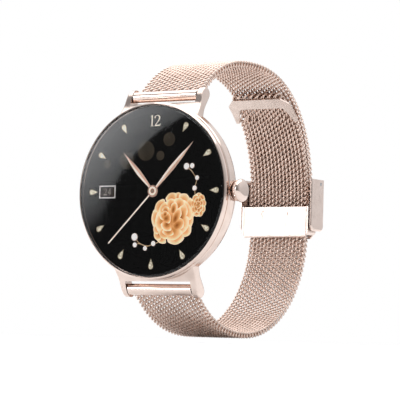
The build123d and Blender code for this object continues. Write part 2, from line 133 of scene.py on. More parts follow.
def noise(mat, scale, detail=3.0, stretch=(1, 1, 1)):
    """Noise in the part's own space; scale is in cells per millimetre."""
    place = node(mat, "TexCoord")
    size = node(mat, "Mapping", [("Vector", place.outputs["Object"])], Scale=stretch)
    made = node(mat, "TexNoise", [("Vector", size.outputs["Vector"])], Scale=scale / MM, Detail=detail)
    return made.outputs["Fac"]


def set_stops(ramp, stops):
    """Fill a colour ramp's stops from (position, tone) pairs."""
    for stop, (where, tone) in zip(ramp.color_ramp.elements, stops):
        stop.position = where
        stop.color = (*tone, 1)


def two_tone(mat, fac, low, high):
    """Colour that runs from one tone to another with fac."""
    ramp = node(mat, "ValToRGB", [("Fac", fac)])
    set_stops(ramp, ((0.35, low), (0.65, high)))
    to_shader(mat, "Base Color", ramp.outputs["Color"])
    return ramp


def vary_roughness(mat, fac, low, high):
    spread = node(mat, "MapRange", [("Value", fac)], From_Min=0.3, From_Max=0.7, To_Min=low, To_Max=high)
    to_shader(mat, "Roughness", spread.outputs["Result"])


def bump(mat, fac, strength, depth):
    """Relief of that depth in millimetres."""
    made = node(mat, "Bump", [("Height", fac)], Strength=strength, Distance=depth * MM)
    to_shader(mat, "Normal", made.outputs["Normal"])


def metal(name, low, high, rough, grain, stretch=(1, 1, 1), relief=0.004):
    """Plated metal: a tone that drifts, uneven polish and a fine grain."""
    mat = new_material(name, Metallic=1.0)
    two_tone(mat, noise(mat, 0.35), low, high)
    vary_roughness(mat, noise(mat, grain * 0.4, 4.0, stretch), rough * 0.75, rough * 1.25)
    bump(mat, noise(mat, grain, 2.0, stretch), 0.35, relief)
    return mat


def plastic(name, low, high, rough, grain=6.0, relief=0.006, **sockets):
    """Moulded plastic, rubber, lacquer or epoxy with a fine grain."""
    mat = new_material(name, **sockets)
    two_tone(mat, noise(mat, grain * 0.25), low, high)
    vary_roughness(mat, noise(mat, grain), rough * 0.8, rough * 1.2)
    bump(mat, noise(mat, grain * 2), 0.4, relief)
    return mat


def glass_material():
    """Clear glass with no tint: what lies under it shows, and the surface keeps its gloss."""
    mat = bpy.data.materials.new("clear_glass")
    mat.use_nodes = True
    tree = mat.node_tree
    tree.nodes.remove(tree.nodes["Principled BSDF"])
    clear = node(mat, "BsdfTransparent")
    gloss = node(mat, "BsdfGlossy")
    smear = node(mat, "MapRange", [("Value", noise(mat, 0.2))], From_Min=0.3, From_Max=0.7,
                 To_Min=0.012, To_Max=0.03)
    tree.links.new(smear.outputs["Result"], gloss.inputs["Roughness"])
    edge = node(mat, "Fresnel", IOR=1.45)
    mix = node(mat, "MixShader", [(0, edge.outputs["Fac"]), (1, clear.outputs["BSDF"]),
                                  (2, gloss.outputs["BSDF"])])
    tree.links.new(mix.outputs["Shader"], tree.nodes["Material Output"].inputs["Surface"])
    return mat


LIT = dict(Roughness=0.7, Specular_IOR_Level=0.0, Emission_Strength=0.42)   # a lit pixel of the display


def lit(name, low, high, scale):
    """Lit pixels of the display: a colour that runs between two tones."""
    mat = new_material(name, **LIT)
    ramp = two_tone(mat, noise(mat, scale), low, high)
    to_shader(mat, "Emission Color", ramp.outputs["Color"])
    return mat


def petal_material(name, tones, scale):
    """A petal: deep at its root, pale at its rim, with fine veins; u and v run over the petal."""
    mat = new_material(name, **LIT)
    place = node(mat, "TexCoord")
    centred = node(mat, "Mapping", [("Vector", place.outputs["UV"])],
                   Location=(-0.5, -0.25, 0), Scale=(1, 0.75, 1))
    reach = node(mat, "VectorMath", [(0, centred.outputs["Vector"])])
    reach.operation = "LENGTH"
    ripple = node(mat, "Math", [(0, noise(mat, scale))])
    ripple.operation = "MULTIPLY_ADD"
    ripple.inputs[1].default_value = 0.35
    mat.node_tree.links.new(reach.outputs["Value"], ripple.inputs[2])
    ramp = node(mat, "ValToRGB", [("Fac", ripple.outputs["Value"])])
    while len(ramp.color_ramp.elements) < len(tones):
        ramp.color_ramp.elements.new(0.5)
    set_stops(ramp, tones)
    to_shader(mat, "Base Color", ramp.outputs["Color"])
    to_shader(mat, "Emission Color", ramp.outputs["Color"])
    return mat


BRUSHED = (1, 1, 0.08)         # how the grain of a brushed face is drawn out
rose_polished = metal("rose_gold_polished", (0.76, 0.62, 0.55), (0.82, 0.68, 0.61), 0.13, 2.0, relief=0.001)
rose_satin = metal("rose_gold_satin", (0.82, 0.68, 0.61), (0.88, 0.74, 0.67), 0.34, 8.0, BRUSHED)
rose_wire = metal("rose_gold_wire", (0.71, 0.55, 0.47), (0.80, 0.64, 0.56), 0.26, 3.0, relief=0.002)
# the satin rose gold again, darker all over: painted shade on the tail's end plate, which sits inside the band's
# loop
rose_plate_painted_shade = metal("rose_gold_plate_painted_shade", (0.62, 0.51, 0.45), (0.70, 0.58, 0.52), 0.34, 8.0, BRUSHED)
steel = metal("bright_steel", (0.50, 0.50, 0.52), (0.62, 0.62, 0.63), 0.25, 6.0)
gold = metal("gold_plate", (0.80, 0.55, 0.20), (0.88, 0.64, 0.28), 0.2, 6.0)
foil = metal("battery_foil", (0.55, 0.55, 0.57), (0.66, 0.66, 0.68), 0.4, 2.0, relief=0.03)
black_plastic = plastic("black_plastic", (0.012, 0.012, 0.013), (0.022, 0.022, 0.024), 0.5)
rubber = plastic("black_rubber", (0.010, 0.010, 0.010), (0.020, 0.020, 0.020), 0.8)
board_green = plastic("board_green", (0.010, 0.060, 0.025), (0.020, 0.100, 0.045), 0.35, 2.0)
epoxy = plastic("chip_epoxy", (0.015, 0.015, 0.017), (0.030, 0.030, 0.033), 0.6)
amber_film = plastic("amber_film", (0.45, 0.18, 0.02), (0.60, 0.27, 0.04), 0.3)
screen_black = plastic("screen_black", (0.0006, 0.0006, 0.0007), (0.0014, 0.0012, 0.0010), 0.8,
                       relief=0.0, Specular_IOR_Level=0.0)
mask_black = plastic("mask_black", (0.0006, 0.0006, 0.0006), (0.0012, 0.0012, 0.0012), 0.8,
                     relief=0.0, Specular_IOR_Level=0.0)
sensor_dark = plastic("sensor_dark", (0.004, 0.004, 0.005), (0.008, 0.008, 0.009), 0.08, 1.0, 0.0005,
                      Coat_Weight=0.6, Coat_Roughness=0.03)
led_clear = plastic("led_clear", (0.50, 0.62, 0.45), (0.62, 0.72, 0.55), 0.2)
clear_glass = glass_material()

FINISH = {
    rose_polished: ["case_body", "bezel_ring", "crown_tube", "crown", "top_end_tube", "bottom_end_tube"],
    rose_satin: ["back_cover", "clasp_cover", "top_end_piece", "clasp_box", "lock_plate"],
    rose_plate_painted_shade: ["tail_end_plate"],
    rose_wire: ["top_mesh_front", "top_mesh_back", "bottom_mesh_front", "bottom_mesh_tail"],
    clear_glass: ["cover_glass"],
    screen_black: ["display_panel"],
    sensor_dark: ["sensor_window"],
    steel: ["vibration_motor", "back_screws", "charging_magnets", "encoder_bracket", "switch_plunger",
            "top_bar_barrel", "bottom_bar_barrel", "top_bar_spring", "bottom_bar_spring",
            "top_bar_pin_left", "top_bar_pin_right", "bottom_bar_pin_left", "bottom_bar_pin_right",
            "cover_pins", "lock_pin"],
    gold: ["charging_contacts"],
    foil: ["battery"],
    black_plastic: ["inner_frame", "encoder_wheel", "crown_switch"],
    rubber: ["glass_gasket", "back_seal", "crown_o_rings"],
    board_green: ["main_board", "sensor_board"],
    epoxy: ["board_chips"],
    amber_film: ["display_flex"],
    led_clear: ["sensor_leds"],
}
for finish, names in FINISH.items():
    for name in names:
        for material_slot in nodes[name].material_slots:
            material_slot.material = finish


# ---------------------------------------------------------------- the band's curves
def loop_point(phi, a, b, off=0.0, n=SQUARE, z0=0.0):
    """A point of the band at phi degrees round the loop from its back, off mm outwards."""
    c, s = math.cos(math.radians(phi)), math.sin(math.radians(phi))
    y = a * math.copysign(abs(c) ** (2 / n), c)
    z = b * math.copysign(abs(s) ** (2 / n), s)
    ny = math.copysign(abs(y / a) ** (n - 1) / a, y)
    nz = math.copysign(abs(z / b) ** (n - 1) / b, z)
    size = math.hypot(ny, nz)
    return LOOP_Y + y + off * ny / size, z0 + z + off * nz / size


def outer_band(phi, off=0.0):
    return loop_point(phi, LOOP_A, LOOP_B, off)


def front_band(phi):
    """The front half of a band, with its straight lead to the end tube."""
    y, z = outer_band(min(phi, LEAD_ANGLE))
    if phi > LEAD_ANGLE:
        y1, z1 = outer_band(LEAD_ANGLE - 1)
        reach = LEAD_LENGTH * (phi - LEAD_ANGLE) / math.hypot(y - y1, z - z1)
        y, z = y + (y - y1) * reach, z + (z - z1) * reach
    return y, z


def top_strap(phi):
    """The middle of the 12 o'clock band, from the clasp (4 degrees) to its end tube."""
    return front_band(phi) if phi > 90 else outer_band(phi)


def bottom_strap(phi):
    """The middle of the 6 o'clock band, from its end tube (-131 degrees) to its tail (62.5)."""
    if phi < -90:
        y, z = front_band(-phi)
        return y, -z
    if phi < 0:
        return loop_point(phi, LOOP_A - STEP_IN, LOOP_B + FLAT_Z, 0.0, 2.0, FLAT_Z)
    return outer_band(phi, -STEP_IN)


def strap_line(strap, first, last):
    """Length along a strap, with its points and outward normals as (y, z), and its angles."""
    angle = np.linspace(first, last, 1200)
    yz = np.array([strap(p) for p in angle])
    length = np.concatenate([[0], np.cumsum(np.hypot(*np.diff(yz, axis=0).T))])
    heading = np.gradient(yz, length, axis=0)
    heading /= np.linalg.norm(heading, axis=1)[:, None]
    return length, yz, np.stack([heading[:, 1], -heading[:, 0]], axis=1), angle


# ---------------------------------------------------------------- the woven wire
def coil_pair(half):
    """One closed wire: two flat coils side by side, joined at the band's edges, as (across, out, along)."""
    end_x = half - WIRE_R - EDGE_BEND
    start = 1.5 * math.pi
    theta = np.linspace(start, start + 2 * math.pi * TURNS, int(TURNS * TURN_STEPS) + 1)
    x = np.linspace(-end_x, end_x, len(theta)) + UPRIGHT * np.sin(2 * theta)
    there = np.stack([x, -COIL_R * np.sin(theta), -COIL_HALF * np.cos(theta)], axis=1)
    back = np.stack([x, COIL_R * np.sin(theta), ROW + COIL_HALF * np.cos(theta)], axis=1)[::-1]

    def link(start, end, way):
        u = np.linspace(0, 1, LINK_STEPS + 2)[1:-1, None]
        pull = LINK_PULL * np.array([end_x / (math.pi * TURNS), 0, COIL_HALF]) * way
        away, home = pull, pull * [-1, 1, 1]
        return ((2 * u**3 - 3 * u**2 + 1) * start + (u**3 - 2 * u**2 + u) * away
                + (3 * u**2 - 2 * u**3) * end + (u**3 - u**2) * home)

    return np.concatenate([there, link(there[-1], back[0], 1), back, link(back[-1], there[0], -1)])


def tube_rings(path):
    """Points of a closed wire's skin, one ring for each point of its path."""
    heading = np.roll(path, -1, axis=0) - np.roll(path, 1, axis=0)
    heading /= np.linalg.norm(heading, axis=1)[:, None]
    side = np.cross([1.0, 0, 0], heading)
    side /= np.linalg.norm(side, axis=1)[:, None]
    up = np.cross(heading, side)
    turn = np.linspace(0, 2 * math.pi, SIDES, endpoint=False)
    ring = side[:, None] * np.cos(turn)[:, None] + up[:, None] * np.sin(turn)[:, None]
    return path[:, None] + WIRE_R * ring


def ring_faces(rings, sides):
    """Quads of a closed tube, by vertex number."""
    i, j = np.meshgrid(np.arange(rings), np.arange(sides), indexing="ij")
    i1, j1 = (i + 1) % rings, (j + 1) % sides
    return np.stack([i * sides + j, i * sides + j1, i1 * sides + j1, i1 * sides + j], -1).reshape(-1, 4)


def top_half(y, angle):
    """Half the band's width: it narrows from the lugs to the loop's top."""
    return np.interp(y, [BAR_Y, LOOP_Y], [LUG_HALF, BAND_HALF])


def bottom_half(y, angle):
    """The 6 o'clock band also narrows under its end plate."""
    if angle < PLATE_ANGLE:
        return top_half(y, angle)
    return np.interp(angle, [BAR_ANGLE, BAR_ANGLE + 2], [PLATE_HALF, TIP_HALF])


def weave(name, line, centres, half_width, body):
    """Coil pairs at these lengths along a strap, as one piece."""
    length, yz, normal, angle = line
    points, faces, count = [], [], 0
    for centre in centres:
        half = half_width(np.interp(centre, length, yz[:, 0]), np.interp(centre, length, angle))
        across, out, along = coil_pair(half).T
        at = centre + along
        place = [np.interp(at, length, yz[:, k]) + out * np.interp(at, length, normal[:, k])
                 for k in (0, 1)]
        rings = tube_rings(np.stack([across, *place], axis=1))
        points.append(rings.reshape(-1, 3))
        faces.append(ring_faces(len(rings), SIDES) + count)
        count += len(rings) * SIDES
    return add_mesh(name, np.concatenate(points), np.concatenate(faces), rose_wire, body)


def woven_strap(prefix, strap, first, last, fold_angle, half_width, bodies, first_clear, last_clear):
    """A strap's weave in three pieces: before the fold, over it, and after it."""
    line = strap_line(strap, first, last)
    length = line[0]
    fold = np.interp(fold_angle, np.linspace(first, last, len(length)), length)
    centres = np.arange(first_clear, length[-1] - last_clear, 2 * ROW)
    before = weave(f"{prefix}_before", line, centres[centres < fold - BEND_REACH], half_width, bodies[0])
    over = weave(f"{prefix}_bend", line, centres[abs(centres - fold) <= BEND_REACH], half_width, None)
    after = weave(f"{prefix}_after", line, centres[centres > fold + BEND_REACH], half_width, bodies[1])
    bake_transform(over)
    return before, over, after


def tube_clearance(strap, angle_end):
    """How far short of the strap's end the weave stops, so that it meets the end tube's skin."""
    y, z = strap(angle_end)
    return END_TUBE_R - math.hypot(y - BAR_Y, abs(z) - BAR_Z) + COIL_HALF


top_before, top_over, top_after = woven_strap(
    "top_weave", top_strap, 4, LEAD_ANGLE + 1, 90, top_half, ("top_band_back", "top_band_front"),
    COIL_HALF + WIRE_R, tube_clearance(top_strap, LEAD_ANGLE + 1))
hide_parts("top_mesh_back")
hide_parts("top_mesh_front")
bottom_before, bottom_over, bottom_after = woven_strap(
    "bottom_weave", bottom_strap, -LEAD_ANGLE - 1, TAIL_ANGLE, -90, bottom_half,
    ("bottom_band_front", "bottom_band_tail"), tube_clearance(bottom_strap, -LEAD_ANGLE - 1), COIL_HALF)
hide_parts("bottom_mesh_front")
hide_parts("bottom_mesh_tail")


# ---------------------------------------------------------------- the crown
CROWN_Y = -6.2
KNURLS, PER_KNURL = 30, 6


def lathe(name, strips, mat, body):
    """Strips of (x, radius, knurl depth) turned about the crown's axis, sharp where two strips meet."""
    count = KNURLS * PER_KNURL
    angle = np.arange(count) * 2 * math.pi / count
    tooth = 0.5 - 0.5 * np.cos(KNURLS * angle)
    points, faces = [], []
    for strip in strips:
        for k, (x, r, depth) in enumerate(strip):
            radius = r - depth * tooth
            points += zip([x] * count, CROWN_Y + radius * np.cos(angle), radius * np.sin(angle))
            if k:
                base = len(points) - 2 * count
                ends = [(base + i, base + (i + 1) % count) for i in range(count)]
                faces += [(i, j, j + count, i + count) for i, j in ends]
    return add_mesh(name, points, faces, mat, body)


SHAFT_R, GROOVE_R, AXIS_R = 0.95, 0.6, 0.02
SHAFT_START, KNURL_START, CAP_START, CAP_END = 17.0, 21.0, 21.75, 23.0
CAP_BACK_R, CAP_R, CAP_FLAT_R = 2.53, 2.6, 0.5
KNURL_DEPTH = 0.2
knurling = [(KNURL_START, 2.33, KNURL_DEPTH), (21.06, 2.4, KNURL_DEPTH), (21.68, 2.4, KNURL_DEPTH),
            (CAP_START, 2.35, KNURL_DEPTH)]
dome = [(22.05 + 0.95 * math.sin(t), CAP_FLAT_R + 2.1 * math.cos(t) ** 0.8, 0)
        for t in np.linspace(0, 1.5, 14)]
shaft = [(SHAFT_START, AXIS_R, 0), (SHAFT_START, SHAFT_R, 0)]
for groove_start, groove_end in ((18.2, 18.7), (19.3, 19.8)):
    shaft += [(groove_start, SHAFT_R, 0), (groove_start, GROOVE_R, 0), (groove_end, GROOVE_R, 0),
              (groove_end, SHAFT_R, 0)]
shaft.append((KNURL_START, SHAFT_R, 0))
crown_skin = lathe("crown_skin", [
    [(KNURL_START, SHAFT_R, 0), knurling[0]], knurling,
    [(CAP_START, 2.15, 0), (CAP_START, CAP_BACK_R, 0)],
    [(CAP_START, CAP_BACK_R, 0), (21.82, CAP_R, 0), (22.05, CAP_R, 0), *dome[1:],
     (CAP_END, CAP_FLAT_R, 0), (CAP_END, AXIS_R, 0)],
    *([start, end] for start, end in zip(shaft, shaft[1:]))], rose_polished, "crown")

SQUARE_START, SQUARE_HALF = 13.9, 0.5
square_corners = [(SQUARE_HALF * y, SQUARE_HALF * z) for y, z in ((-1, -1), (1, -1), (1, 1), (-1, 1))]
square_end = add_mesh("crown_square_end",
                      [(x, CROWN_Y + y, z) for x in (SQUARE_START, SHAFT_START) for y, z in square_corners],
                      [(3, 2, 1, 0), (0, 1, 5, 4), (1, 2, 6, 5), (2, 3, 7, 6), (3, 0, 4, 7)],
                      rose_polished, "crown", smooth=False)
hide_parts("crown")

# ---------------------------------------------------------------- the display
SCREEN_Y = -9.06               # lit pixels lie just in front of the panel
LAYER = 0.004                  # from one layer of the picture to the next


def flat(name, outlines, mat, layer=0, rise=0, uv=None):
    """Filled outlines of (x, z) points on the display, in one piece, each rise layers over the last."""
    points, faces = [], []
    for k, outline in enumerate(outlines):
        base = len(points)
        y = SCREEN_Y - (layer + k * rise) * LAYER
        points += [(x, y, z) for x, z in outline]
        faces.append(range(base, base + len(outline)))
    return add_mesh(name, points, faces, mat, "case", smooth=False, uv=uv)


def turned(outline, degrees, at=(0, 0)):
    """An outline drawn along +z, turned clockwise like a hand and moved."""
    a = math.radians(degrees)
    return [(at[0] + x * math.cos(a) + z * math.sin(a), at[1] - x * math.sin(a) + z * math.cos(a))
            for x, z in outline]


def disc(x, z, r, steps=28):
    return [(x + r * math.cos(t), z + r * math.sin(t))
            for t in np.linspace(0, 2 * math.pi, steps, endpoint=False)]


def drop(half, length):
    """A drop with its round end at the origin's far side and its point towards the origin."""
    t = np.linspace(0, 2 * math.pi, 24, endpoint=False)
    return [(half * math.sin(a) * (1 + math.cos(a)) * 0.77, length / 2 * math.cos(a)) for a in t]


def smooth_line(knots, steps=8):
    """A curve through knots, as points."""
    k = np.array([knots[0], *knots, knots[-1]], float)
    t = np.linspace(0, 1, steps, endpoint=False)[:, None]
    parts = [0.5 * (2 * b + (c - a) * t + (2 * a - 5 * b + 4 * c - d) * t**2
                    + (3 * b - a - 3 * c + d) * t**3)
             for a, b, c, d in zip(k, k[1:], k[2:], k[3:])]
    return np.concatenate([*parts, k[-1:]])


def stroke(knots, widths, steps=8):
    """The outline of a pen stroke through knots, with a width at each."""
    line = smooth_line(knots, steps)
    width = np.interp(np.linspace(0, len(knots) - 1, len(line)), range(len(knots)), widths)[:, None]
    heading = np.gradient(line, axis=0)
    heading /= np.linalg.norm(heading, axis=1)[:, None]
    side = np.stack([-heading[:, 1], heading[:, 0]], axis=1) * width / 2
    return [tuple(p) for p in np.concatenate([line + side, (line - side)[::-1]])]


# the black border printed under the glass
BORDER_R, BORDER_STEPS = (17.9, 19.6), 180
BORDER_Y = SCREEN_Y + 0.003
turn = np.linspace(0, 2 * math.pi, BORDER_STEPS, endpoint=False)
ring_points = [(r * math.cos(t), BORDER_Y, r * math.sin(t)) for r in BORDER_R for t in turn]
ring_quads = [(i, (i + 1) % BORDER_STEPS, BORDER_STEPS + (i + 1) % BORDER_STEPS, BORDER_STEPS + i)
              for i in range(BORDER_STEPS)]
add_mesh("glass_border", ring_points, ring_quads, mask_black, "case")

marker_gold = lit("marker_gold", (0.42, 0.37, 0.27), (0.88, 0.83, 0.68), 2.6)
marker_rim = lit("marker_rim", (0.28, 0.22, 0.14), (0.40, 0.33, 0.22), 2.6)
numeral_cream = lit("numeral_cream", (0.62, 0.56, 0.46), (0.76, 0.70, 0.60), 0.8)
date_silver = lit("date_silver", (0.66, 0.63, 0.60), (0.98, 0.96, 0.94), 1.6)
date_grey = lit("date_grey", (0.24, 0.20, 0.17), (0.32, 0.28, 0.24), 1.0)
date_dark = lit("date_dark", (0.020, 0.014, 0.012), (0.030, 0.022, 0.018), 0.5)
hand_pale = lit("hand_pale", (0.94, 0.76, 0.65), (1.0, 0.88, 0.79), 0.3)
hand_deep = lit("hand_deep", (0.56, 0.36, 0.28), (0.70, 0.48, 0.38), 0.3)
hub_deep = lit("hub_deep", (0.36, 0.23, 0.18), (0.50, 0.34, 0.27), 0.8)
hub_dark = lit("hub_dark", (0.20, 0.14, 0.10), (0.30, 0.22, 0.16), 2.0)
pearl_pale = lit("pearl_pale", (0.92, 0.87, 0.84), (1.0, 0.98, 0.96), 1.0)
pearl_rim = lit("pearl_rim", (0.44, 0.36, 0.33), (0.60, 0.51, 0.47), 1.0)
twig_gold = lit("twig_gold", (0.45, 0.30, 0.16), (0.70, 0.54, 0.36), 0.8)
glow_brown = lit("glow_brown", (0.028, 0.022, 0.015), (0.046, 0.036, 0.025), 0.3)

SPOTS = ((4.1, 11.8, 1.6), (-2.2, 9.3, 2.3), (-7.5, 7.3, 2.0), (1.8, 8.1, 1.1), (-13.0, 6.5, 1.0))
flat("soft_spots", [disc(*spot) for spot in SPOTS], glow_brown, 0, 0.2)


def markers(name, half, length, reach, mat, layer):
    """A drop at each hour but the twelfth, its middle at that reach from the dial's."""
    outline = [(x, z + reach) for x, z in drop(half, length)]
    return flat(name, [turned(outline, 30 * hour) for hour in range(1, 12)], mat, layer)


markers("marker_rims", 0.66, 2.55, 16.6, marker_rim, 2)
markers("hour_markers", 0.53, 2.2, 16.65, marker_gold, 3)


def scaled(outlines, x, z, size):
    """Outlines drawn one unit high, at their size and place."""
    return [[(x + size * u, z + size * v) for u, v in outline] for outline in outlines]


def numeral_one(x, z, size, weight):
    """A 1 with a serif, its middle at (x, z)."""
    h = weight / 2
    stem = [(-h, -0.48), (h, -0.48), (h, 0.5), (-0.02, 0.5), (-0.17, 0.38), (-0.16, 0.34), (-h, 0.37)]
    foot = [(-0.19, -0.5), (0.19, -0.5), (0.19, -0.46), (-0.19, -0.46)]
    return scaled((stem, foot), x, z, size)


def numeral_two(x, z, size, weight):
    """A 2 with a heavy shoulder and a flat foot, its middle at (x, z)."""
    knots = [(-0.27, 0.22), (-0.24, 0.38), (-0.02, 0.47), (0.20, 0.36), (0.21, 0.16), (0.03, -0.12),
             (-0.28, -0.45)]
    curve = stroke(knots, [weight, 0.05, 0.06, weight * 0.9, weight, weight * 0.6, 0.05])
    foot = [(-0.31, -0.5), (0.30, -0.5), (0.35, -0.27), (0.31, -0.27), (0.24, -0.38), (-0.24, -0.38)]
    return scaled((curve, foot), x, z, size)


def numeral_four(x, z, size, weight):
    """A 4 in thin strokes, its middle at (x, z)."""
    h = weight / 2
    stem = [(0.12 - h, -0.5), (0.12 + h, -0.5), (0.12 + h, 0.5), (0.12 - h, 0.5)]
    bar = [(-0.32, -0.17 - h), (0.32, -0.17 - h), (0.32, -0.17 + h), (-0.32, -0.17 + h)]
    slope = [(-0.32, -0.17 + h), (-0.32 + weight * 1.3, -0.17 + h), (0.12, 0.5 - weight), (0.12 - h, 0.5)]
    return scaled((stem, bar, slope), x, z, size)


NUMERAL_Z, NUMERAL_SIZE = 16.2, 2.55
flat("numeral_12", numeral_one(-0.75, NUMERAL_Z, NUMERAL_SIZE, 0.13)
     + numeral_two(0.72, NUMERAL_Z, NUMERAL_SIZE, 0.15), numeral_cream, 3, 0.1)

DATE_LEFT, DATE_RIGHT, DATE_TOP = -14.9, -10.6, 1.35
date_corners = [(DATE_LEFT, -DATE_TOP), (DATE_RIGHT, -DATE_TOP), (DATE_RIGHT, DATE_TOP),
                (DATE_LEFT, DATE_TOP)]
flat("date_window", [date_corners], date_dark, 1)
beads = [(x, z) for x in np.linspace(DATE_LEFT, DATE_RIGHT, 13) for z in (-DATE_TOP, DATE_TOP)]
beads += [(x, z) for x in (DATE_LEFT, DATE_RIGHT) for z in np.linspace(-DATE_TOP, DATE_TOP, 9)[1:-1]]
flat("date_beads", [disc(x, z, 0.155, 10) for x, z in beads], date_silver, 3)
flat("date_digits", numeral_two(-13.35, 0, 1.5, 0.10) + numeral_four(-12.15, 0, 1.5, 0.08), date_grey, 3, 0.1)


# the two peonies, petal by petal, from the back: middle (x, z), length, width and heading
def petal(x, z, length, width, heading):
    """A petal's outline and its (u, v) points: its root is narrow, and its rim is scalloped."""
    t = np.linspace(0, 2 * math.pi, 36, endpoint=False)
    wave = 1 + 0.035 * np.cos(5 * t)
    u = 0.5 * np.sin(t) * (1 + 0.22 * np.cos(t)) * wave
    v = 0.5 + 0.5 * np.cos(t) * wave
    outline = [(a * width, (b - 0.5) * length) for a, b in zip(u, v)]
    return turned(outline, heading, (x, z)), np.stack([u + 0.5, v], 1)


def flower(name, petals, mat, layer):
    """Petals as one piece, each a layer over the last."""
    pairs = [petal(*p) for p in petals]
    return flat(name, [outline for outline, _ in pairs], mat, layer, 1, np.concatenate([uv for _, uv in pairs]))


DEEP, MIDDLE, PALE = (0.27, 0.07, 0.015), (0.56, 0.24, 0.07), (0.80, 0.48, 0.22)
BRIGHT, CREAM = (0.92, 0.68, 0.42), (1.0, 0.84, 0.62)
VEINS = 0.5
petal_outer = petal_material(
    "petal_outer", [(0.24, MIDDLE), (0.50, PALE), (0.62, BRIGHT), (0.72, CREAM)], VEINS)
petal_inner = petal_material(
    "petal_inner", [(0.18, DEEP), (0.38, MIDDLE), (0.56, PALE), (0.70, CREAM)], VEINS)

flower("peony_outer", [
    (7.0, -1.5, 2.2, 2.0, 5), (5.2, -1.7, 2.4, 3.0, -22), (8.6, -2.2, 3.0, 3.2, 28), (10.4, -3.9, 2.6, 4.2, 75),
    (10.0, -7.0, 2.4, 4.0, 105), (9.3, -8.9, 3.0, 3.0, 128), (6.6, -10.6, 3.2, 4.3, 172),
    (2.7, -10.9, 2.0, 3.0, 205), (1.9, -10.0, 2.4, 2.4, 230), (1.5, -8.7, 2.0, 2.2, 250),
    (1.0, -6.2, 2.2, 3.8, 270), (2.3, -3.5, 2.6, 3.4, 315)], petal_outer, 4)
flower("peony_middle", [
    (5.6, -6.2, 5.6, 6.4, 10), (5.4, -7.4, 4.4, 5.4, 170),
    (9.0, -4.6, 3.4, 4.8, 62), (8.4, -7.7, 3.2, 4.2, 118), (6.0, -9.6, 3.2, 4.4, 165), (3.4, -9.7, 2.2, 2.8, 215),
    (2.2, -7.0, 2.4, 4.2, 268), (3.5, -3.9, 2.4, 3.4, 322), (5.2, -2.9, 2.2, 2.6, 352), (7.4, -3.0, 2.6, 3.0, 20)],
    petal_outer, 17)
flower("peony_inner", [
    (8.2, -5.4, 4.6, 2.5, 22), (7.4, -7.6, 3.0, 2.6, 60), (4.6, -9.3, 1.9, 3.0, 190), (6.8, -5.7, 3.6, 2.1, 28),
    (6.0, -3.9, 2.6, 1.7, 18), (3.3, -5.9, 2.4, 1.6, 300), (4.1, -8.0, 2.2, 3.0, 205), (3.8, -4.4, 1.7, 1.8, 345),
    (4.2, -6.2, 2.1, 2.5, 75), (3.7, -5.2, 1.3, 1.3, 20)],
    petal_inner, 28)
SMALL_X, SMALL_Z = 12.6, -3.3
rosette = []
for share, first, count in ((1.0, 0, 9), (0.66, 20, 7), (0.32, 50, 5)):
    for heading in np.linspace(first, first + 360, count, endpoint=False):
        rosette.append((SMALL_X + 1.15 * math.sin(math.radians(heading)) * share,
                        SMALL_Z + 1.85 * math.cos(math.radians(heading)) * share,
                        1.5 * share + 0.3, 1.6 * share + 0.2, heading))
flower("small_peony", rosette, petal_inner, 20)

TWIGS = [[(9.2, 5.3), (10.4, 4.5), (11.3, 3.4), (12.0, 2.9)],
         [(12.0, 2.9), (11.75, 1.7), (11.4, 0.5), (11.6, -1.0)],
         [(-4.6, -10.6), (-3.6, -11.7), (-2.0, -12.4), (-0.4, -12.5)],
         [(-4.4, -12.2), (-3.4, -12.0), (-2.0, -12.4)],
         [(-1.8, -12.9), (-0.6, -12.5), (1.0, -12.0), (3.2, -11.2)]]
flat("twigs", [stroke(knots, [0.16] * len(knots)) for knots in TWIGS], twig_gold, 2, 0.2)
PEARLS = [(9.1, 5.5, 0.8), (10.6, 5.6, 0.62), (12.0, 2.85, 0.56), (11.4, 0.5, 0.62), (-4.7, -10.5, 0.9),
          (-4.55, -12.3, 0.6), (-1.7, -13.1, 0.56), (0.55, -12.0, 0.62)]
flat("pearl_rims", [disc(*p) for p in PEARLS], pearl_rim, 5, 0.1)
flat("pearls", [disc(x - 0.08 * r, z + 0.08 * r, 0.82 * r) for x, z, r in PEARLS], pearl_pale, 7, 0.1)

HOUR, MINUTE, SECOND = -43.5, 43.7, 225.2    # degrees round the dial
for name, angle, length, layer in (("hour_hand", HOUR, 12.27, 10), ("minute_hand", MINUTE, 15.6, 14)):
    shade = [(0.0, 0.6), (0.30, 0.6), (0.55, 0.30 * length), (0.66, 0.48 * length), (0.52, 0.70 * length),
             (0.20, 0.90 * length), (0.0, length)]
    light = [(0.18 - 1.15 * x, z) if 0 < z < length and x else (x, z) for x, z in shade]
    flat(f"{name}_shade", [turned(shade, angle)], hand_deep, layer)
    flat(f"{name}_light", [turned(light, angle)], hand_pale, layer + 1)
needle = [(-0.17, 0.5), (0.17, 0.5), (0.17, 16.9), (-0.17, 16.9)]
flat("second_hand", [turned(needle, SECOND)], hand_pale, 18)
flat("hub_rim", [disc(0, 0, 1.38, 40)], hub_deep, 20)
HUB = (-0.08, 0.05)
flat("hub_washer", [disc(*HUB, 1.0, 40)], hand_pale, 21)
flat("hub_ring", [disc(*HUB, 0.58)], hub_deep, 22)
flat("hub_pin", [disc(*HUB, 0.42)], hub_dark, 23)

# ---------------------------------------------------------------- floor, lights and camera
FLOOR_HALF, FLOOR_GAP = 600, 1.2
floor_z = cad_low.z / MM - FLOOR_GAP
floor_grey = plastic("pale_floor", (0.86, 0.86, 0.86), (0.90, 0.90, 0.90), 0.7, 0.05, 0.0)
floor = add_mesh("floor", [(FLOOR_HALF * x, FLOOR_HALF * y, floor_z)
                           for x, y in ((-1, -1), (1, -1), (1, 1), (-1, 1))],
                 [(0, 1, 2, 3)], floor_grey, None, smooth=False)


